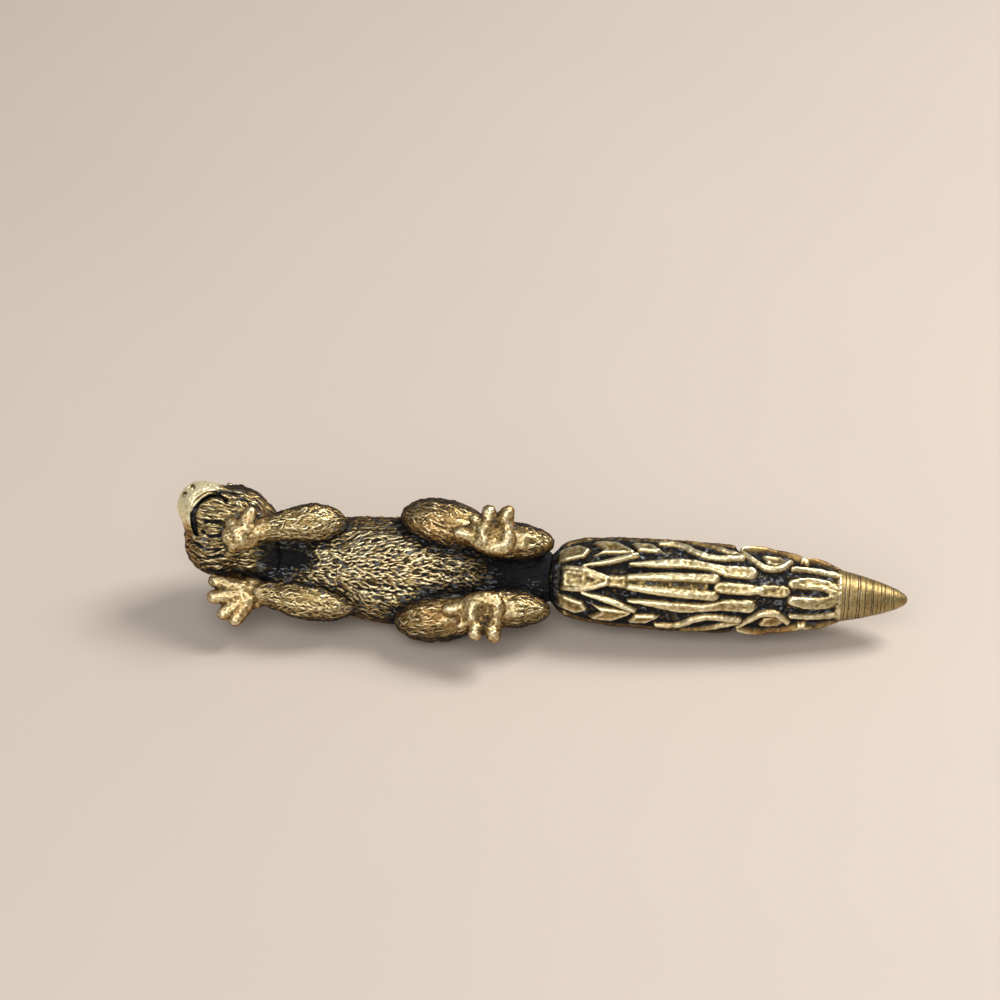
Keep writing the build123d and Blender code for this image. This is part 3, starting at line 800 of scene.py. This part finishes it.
# Raised bars of one half of the front: height, then points of share along, turn in degrees, half width
BARS = (
    (0.95, ((0.04, 17, 0.4), (0.12, 13, 0.6), (0.19, 3, 0.6))),
    (0.85, ((0.17, 0, 0.9), (0.24, 0, 1.0), (0.31, 3, 1.0))),
    (1.0, ((0.27, 6, 0.6), (0.36, 9, 0.8), (0.48, 11, 0.8), (0.56, 12, 0.85))),
    (1.0, ((0.27, 24, 0.3), (0.36, 26, 0.75), (0.46, 31, 0.95), (0.54, 28, 0.75), (0.60, 24, 0.95))),
    (1.0, ((0.60, 24, 1.0), (0.68, 25, 1.15))),
    (0.92, ((0.58, 0, 0.95), (0.67, 0, 1.0), (0.72, 0, 0.7))),
    (0.75, ((0.73, 0, 1.0), (0.80, 0, 1.0))),
    (1.0, ((0.83, 14, 0.8), (0.88, 19, 1.05), (0.94, 20, 1.05), (0.97, 12, 0.95), (0.975, 0, 0.9))),
    (1.0, ((0.11, 19, 0.3), (0.20, 26, 0.6), (0.29, 38, 0.5))),
    (0.95, ((0.37, 64, 0.4), (0.44, 65, 0.65), (0.50, 48, 0.65), (0.56, 42, 0.65), (0.65, 49, 0.65))),
    (0.9, ((0.46, 78, 0.5), (0.53, 73, 0.5), (0.60, 60, 0.5), (0.65, 53, 0.5))),
    (1.0, ((0.65, 62, 0.4), (0.70, 44, 0.55), (0.74, 34, 0.65), (0.79, 38, 0.65), (0.82, 56, 0.5))),
    (1.4, ((0.65, 66, 0.2), (0.71, 78, 0.6), (0.76, 84, 0.95), (0.82, 80, 0.9), (0.88, 64, 0.3))),
    (0.95, ((0.83, 42, 0.45), (0.90, 49, 0.55), (1.0, 52, 0.7))),
    (1.45, ((0.86, 64, 0.2), (0.90, 78, 0.5), (0.93, 84, 0.85), (0.99, 78, 0.4))),
    (0.85, ((0.04, 78, 0.9), (0.14, 86, 1.2), (0.30, 84, 1.3), (0.48, 88, 1.0), (0.62, 86, 0.6))),
)
# Leaf fields of the same half: height, then the corners of their outlines
LEAVES = (
    (0.95, ((0.015, 28), (0.02, 62), (0.09, 60), (0.14, 47), (0.12, 31), (0.05, 25))),
    (0.9, ((0.03, -18), (0.03, 18), (0.12, 14), (0.20, 0), (0.12, -14))),
    (0.95, ((0.13, 36), (0.17, 46), (0.12, 66), (0.22, 64), (0.295, 44), (0.28, 37), (0.23, 36))),
    (0.9, ((0.29, 44), (0.26, 66), (0.34, 63), (0.39, 47), (0.36, 42))),
    (0.5, ((0.27, -7), (0.27, 7), (0.55, 11), (0.55, -11))),
    (0.85, ((0.71, 64), (0.73, 43), (0.76, 37), (0.80, 42), (0.82, 54), (0.79, 68))),
)


def tail_reach(share):
    """Outer radius of the tail at a share along it."""
    return TAIL_RADIUS * np.interp(share, TAIL_OUTLINE[:, 0], TAIL_OUTLINE[:, 1])


def unrolled(share, turn):
    """Places on the tail's unrolled surface, in millimetres."""
    return np.stack((share * TAIL_LENGTH, tail_reach(share) * np.radians(turn)), 1)


def bar_height(places, line):
    """Height of a bar: 1 on its crest, dished where it is broad, with a low skirt down to 0 beside it."""
    line = eased(line)
    spots, half = unrolled(line[:, 0], line[:, 1]), line[:, 2]
    margin = SKIRT * half.max()
    near = np.all((places > spots.min(0) - margin) & (places < spots.max(0) + margin), 1)
    gap, share = line_distance(places[near], spots)
    height = np.zeros(len(places))
    width = np.interp(share, np.linspace(0.0, 1.0, len(line)), half)
    crest = np.clip(1.0 - (gap / width) ** 3.0, 0.0, None) ** 0.75
    dish = DISH * smoothstep(0.75, 1.0, width) * bell(gap / (0.7 * width))
    height[near] = np.maximum(crest - dish, SKIRT_HEIGHT * bell(gap / (SKIRT * width)))
    return height


def leaf_height(places, outline):
    """Height of a leaf: 1 on the rim along its outline and dished inside it."""
    corners = np.asarray(outline, float)
    spots = unrolled(corners[:, 0], corners[:, 1])
    inside = np.zeros(len(places), bool)
    for a, b in zip(spots, np.roll(spots, -1, 0)):
        spans = (a[1] > places[:, 1]) != (b[1] > places[:, 1])
        rise = np.where(a[1] == b[1], 1.0, b[1] - a[1])
        inside ^= spans & (places[:, 0] < a[0] + (b[0] - a[0]) * (places[:, 1] - a[1]) / rise)
    gap, _ = line_distance(places, np.concatenate((spots, spots[:1])))
    return inside * smoothstep(0.0, 0.5, gap) * (1.0 - DISH * smoothstep(0.4, 1.2, gap))


def carved(share, turn):
    """Height of all motifs at places on the tail: 0 on the ground, 1 on a full crest."""
    height = np.zeros(len(share))
    for hand in (1.0, -1.0):
        places = unrolled(share, hand * turn)
        for top, line in BARS:
            height = np.maximum(height, top * bar_height(places, line))
        for top, outline in LEAVES:
            height = np.maximum(height, top * leaf_height(places, outline))
    return height


class FIGURINE_OT_tail(bpy.types.Operator):
    """Carve the tail's relief"""

    bl_idname = "figurine.tail"
    bl_label = "Tail"

    def execute(self, context):
        rng = np.random.default_rng(SEED + 6)
        pitch = mm(sizes().tail_skin)
        along = np.linspace(0.0, 1.0, round(TAIL_LENGTH / pitch))
        columns = round(2.0 * math.pi * TAIL_RADIUS / pitch)
        clay = Clay("tail", lathed(along * TAIL_LENGTH, tail_reach(along), columns))
        share = clay.points[:, 0] / TAIL_LENGTH
        turn = np.degrees(np.arctan2(clay.points[:, 1], clay.points[:, 2]))
        lift = np.maximum(carved(share, turn), carved(share, turn % 360.0 - 180.0))
        lift = np.maximum(lift, smoothstep(0.972, 0.995, share))
        rough = rng.normal(0.0, 1.0, (len(share), 1))
        grain = clay.blurred(rough, 2)[:, 0]
        waves = clay.blurred(rough, 14)[:, 0]
        ground = np.interp(share, TAIL_OUTLINE[:, 0], TAIL_OUTLINE[:, 2])
        full = np.repeat(tail_reach(along), columns)
        sunk = full - mm(sizes().relief) * ground * (1.0 - lift)
        sunk += 0.13 * grain * (1.0 - 0.7 * lift) + 0.14 * waves
        clay.points[:, 1:] *= (sunk / full)[:, None]
        clay.points = clay.blurred(clay.points, 2, 0.5 * smoothstep(0.0, 0.02, share * (1.0 - share)))
        low = smoothstep(0.45, 0.05, lift) * ground
        beside = smoothstep(0.05, 0.4, clay.blurred(lift[:, None], 10)[:, 0])
        sides = smoothstep(55.0, 80.0, np.minimum(np.abs(turn), 180.0 - np.abs(turn)))
        # The ground keeps its dark patina, with painted shade beside the bars on top of it
        clay.stain_and_shade = low * (0.34 + 0.4 * beside - 0.25 * grain) - 0.12 * grain * lift
        # Painted shade at the tail's base and on its flanks; the flanks also get a painted brown reflection
        clay.stain_and_shade += 0.5 * smoothstep(0.03, 0.0, share) + 0.45 * sides
        clay.warmth_and_reflection = 0.35 * sides
        clay.polish = 0.7 * lift
        clay.show("tail_relief", brass("antique_relief", 0.0, 0.3), clay.tone(0.3, 1.1))
        return {"FINISHED"}


CONE_LENGTH = 8.7
# Cone outline: share along it and radius, then where its dark rings lie, how thin they are and how
# far they sway, as shares of its length
CONE_OUTLINE = np.array((
    (0.0, 1.0), (0.31, 0.83), (0.61, 0.61), (0.84, 0.39), (0.95, 0.22), (0.99, 0.11), (1.0, 0.03),
))
CONE_RINGS = (0.06, 0.11, 0.24, 0.27, 0.36, 0.45, 0.48, 0.59, 0.66, 0.78)
RING_HALF = 0.009
RING_SWAY = 0.006
# Height of the fine turning marks, in millimetres
TURNING_MARKS = 0.008
# Rows and columns of the cone's mesh
CONE_ROWS = 220
CONE_COLUMNS = 160


class FIGURINE_OT_tip(bpy.types.Operator):
    """Turn the cone's ring marks"""

    bl_idname = "figurine.tip"
    bl_label = "Cone"

    def execute(self, context):
        rng = np.random.default_rng(SEED + 7)
        along = np.linspace(0.0, 1.0, CONE_ROWS)
        reach = tail_reach(1.0) * np.interp(along, CONE_OUTLINE[:, 0], CONE_OUTLINE[:, 1])
        clay = Clay("tail_tip", lathed(TAIL_LENGTH + along * CONE_LENGTH, reach, CONE_COLUMNS))
        open_end = smoothstep(0.0, 0.05, np.repeat(along, CONE_COLUMNS))
        clay.points = clay.blurred(clay.points, 12, MELT * open_end)
        share = (clay.points[:, 0] - TAIL_LENGTH) / CONE_LENGTH
        turn = np.arctan2(clay.points[:, 1], clay.points[:, 2])
        ring = np.zeros(len(share))
        for place in CONE_RINGS:
            sway = RING_SWAY * np.sin(turn + 40.0 * place)
            ring = np.maximum(ring, bell(np.abs(share + sway - place) / RING_HALF))
        marks = np.repeat(rng.normal(0.0, 1.0, CONE_ROWS), CONE_COLUMNS)
        clay.raise_by(TURNING_MARKS * marks * (share < 0.95) - mm(sizes().ring_depth) * ring)
        clay.stain_and_shade = 0.3 * ring - 0.06 * marks - 0.06
        clay.show("tail_cone", brass("antique_cone", 0.0, 0.2), clay.tone(0.3, 2.0))
        return {"FINISHED"}


class FIGURINE_OT_pins(bpy.types.Operator):
    """Give the hidden pins their metal"""

    bl_idname = "figurine.pins"
    bl_label = "Pins"

    def execute(self, context):
        material = brass("antique_pin", 0.6, 0.15)
        for node in ("neck_pin", "shoulder_pins", "hip_pins", "tail_stud", "tip_stud"):
            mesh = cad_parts[node].data
            mesh.materials.clear()
            mesh.materials.append(material)
        return {"FINISHED"}


FLOOR_SIZE = 6.0
WORLD_COLOUR = (1.0, 0.97, 0.94, 1.0)
WORLD_STRENGTH = 0.28
LAMP_COLOUR = (1.0, 0.97, 0.93)
# Lamps: place and size in metres, power in watts
LAMPS = (
    ("key", (0.26, 0.16, 0.42), 0.22, 2.3),
    ("fill", (-0.06, -0.40, 0.40), 0.52, 2.1),
)
# Camera: how far it is turned round the figurine and raised, what it aims at, how far it stands from
# that, and how far it is moved to the right and up, in metres
CAMERA_TURN = math.radians(4.7)
CAMERA_RISE = math.radians(38.0)
CAMERA_AIM = Vector((0.0, 0.0, 0.0065))
CAMERA_REACH = 0.361
CAMERA_RIGHT = -0.00676
CAMERA_UP = 0.01001
CAMERA_LENS = 100.0


class FIGURINE_OT_stage(bpy.types.Operator):
    """Set floor, lamps and camera"""

    bl_idname = "figurine.stage"
    bl_label = "Stage"

    def execute(self, context):
        scene = context.scene
        bpy.ops.mesh.primitive_plane_add(size=FLOOR_SIZE, location=(0.0, 0.0, 0.0))
        floor = context.object
        floor.name = "floor"
        material = bpy.data.materials.new("floor_paint")
        material.use_nodes = True
        shader = material.node_tree.nodes["Principled BSDF"]
        shader.inputs["Roughness"].default_value = 0.55
        paint = scene.figurine_colours.floor
        cloud = noise(material.node_tree, 14.0, 3.0)
        cloud.ramp((0.3, [part * 0.97 for part in paint]), (0.7, paint)).feed(shader, "Base Color")
        floor.data.materials.append(material)

        world = bpy.data.worlds.new("studio")
        scene.world = world
        world.use_nodes = True
        backdrop = world.node_tree.nodes["Background"]
        backdrop.inputs["Color"].default_value = WORLD_COLOUR
        backdrop.inputs["Strength"].default_value = WORLD_STRENGTH
        for name, place, size, power in LAMPS:
            lamp = bpy.data.lights.new(name, "AREA")
            lamp.energy = power
            lamp.size = size
            lamp.color = LAMP_COLOUR
            holder = bpy.data.objects.new(name, lamp)
            holder.location = place
            holder.rotation_euler = Vector(place).to_track_quat("Z", "Y").to_euler()
            scene.collection.objects.link(holder)

        level = math.cos(CAMERA_RISE)
        back = Vector((math.sin(CAMERA_TURN) * level, -math.cos(CAMERA_TURN) * level, math.sin(CAMERA_RISE)))
        facing = back.to_track_quat("Z", "Y")
        right, up = facing @ Vector((1.0, 0.0, 0.0)), facing @ Vector((0.0, 1.0, 0.0))
        camera = bpy.data.cameras.new("camera")
        camera.lens = CAMERA_LENS
        camera.sensor_width = 36.0
        camera.clip_start = 0.01
        holder = bpy.data.objects.new("camera", camera)
        holder.rotation_euler = facing.to_euler()
        holder.location = CAMERA_AIM + right * CAMERA_RIGHT + up * CAMERA_UP + back * CAMERA_REACH
        scene.collection.objects.link(holder)
        scene.camera = holder
        scene.view_settings.view_transform = "Standard"
        return {"FINISHED"}


class FIGURINE_PT_panel(bpy.types.Panel):
    """Figurine settings in the sidebar"""

    bl_idname = "FIGURINE_PT_panel"
    bl_label = "Brass Squirrel"
    bl_space_type = "VIEW_3D"
    bl_region_type = "UI"
    bl_category = "Figurine"

    def draw(self, context):
        layout = self.layout
        for name in FigurineSizes.__annotations__:
            layout.prop(context.scene.figurine_sizes, name)
        for name in FigurineColours.__annotations__:
            layout.prop(context.scene.figurine_colours, name)
        for operator in OPERATORS:
            layout.operator(operator.bl_idname)


OPERATORS = (
    FIGURINE_OT_torso,
    FIGURINE_OT_head,
    FIGURINE_OT_arms,
    FIGURINE_OT_legs,
    FIGURINE_OT_tail,
    FIGURINE_OT_tip,
    FIGURINE_OT_pins,
    FIGURINE_OT_stage,
)
CLASSES = (FigurineColours, FigurineSizes, *OPERATORS, FIGURINE_PT_panel)


def register():
    """Registers the classes and the scene's settings."""
    for cls in CLASSES:
        bpy.utils.register_class(cls)
    bpy.types.Scene.figurine_colours = bpy.props.PointerProperty(type=FigurineColours)
    bpy.types.Scene.figurine_sizes = bpy.props.PointerProperty(type=FigurineSizes)


def unregister():
    """Takes the settings and the classes away again."""
    del bpy.types.Scene.figurine_sizes
    del bpy.types.Scene.figurine_colours
    for cls in reversed(CLASSES):
        bpy.utils.unregister_class(cls)


def main():
    """Registers the settings, then builds every piece and the stage."""
    register()
    bpy.ops.figurine.torso()
    bpy.ops.figurine.head()
    bpy.ops.figurine.arms()
    bpy.ops.figurine.legs()
    bpy.ops.figurine.tail()
    bpy.ops.figurine.tip()
    bpy.ops.figurine.pins()
    bpy.ops.figurine.stage()


if __name__ == "__main__":
    main()
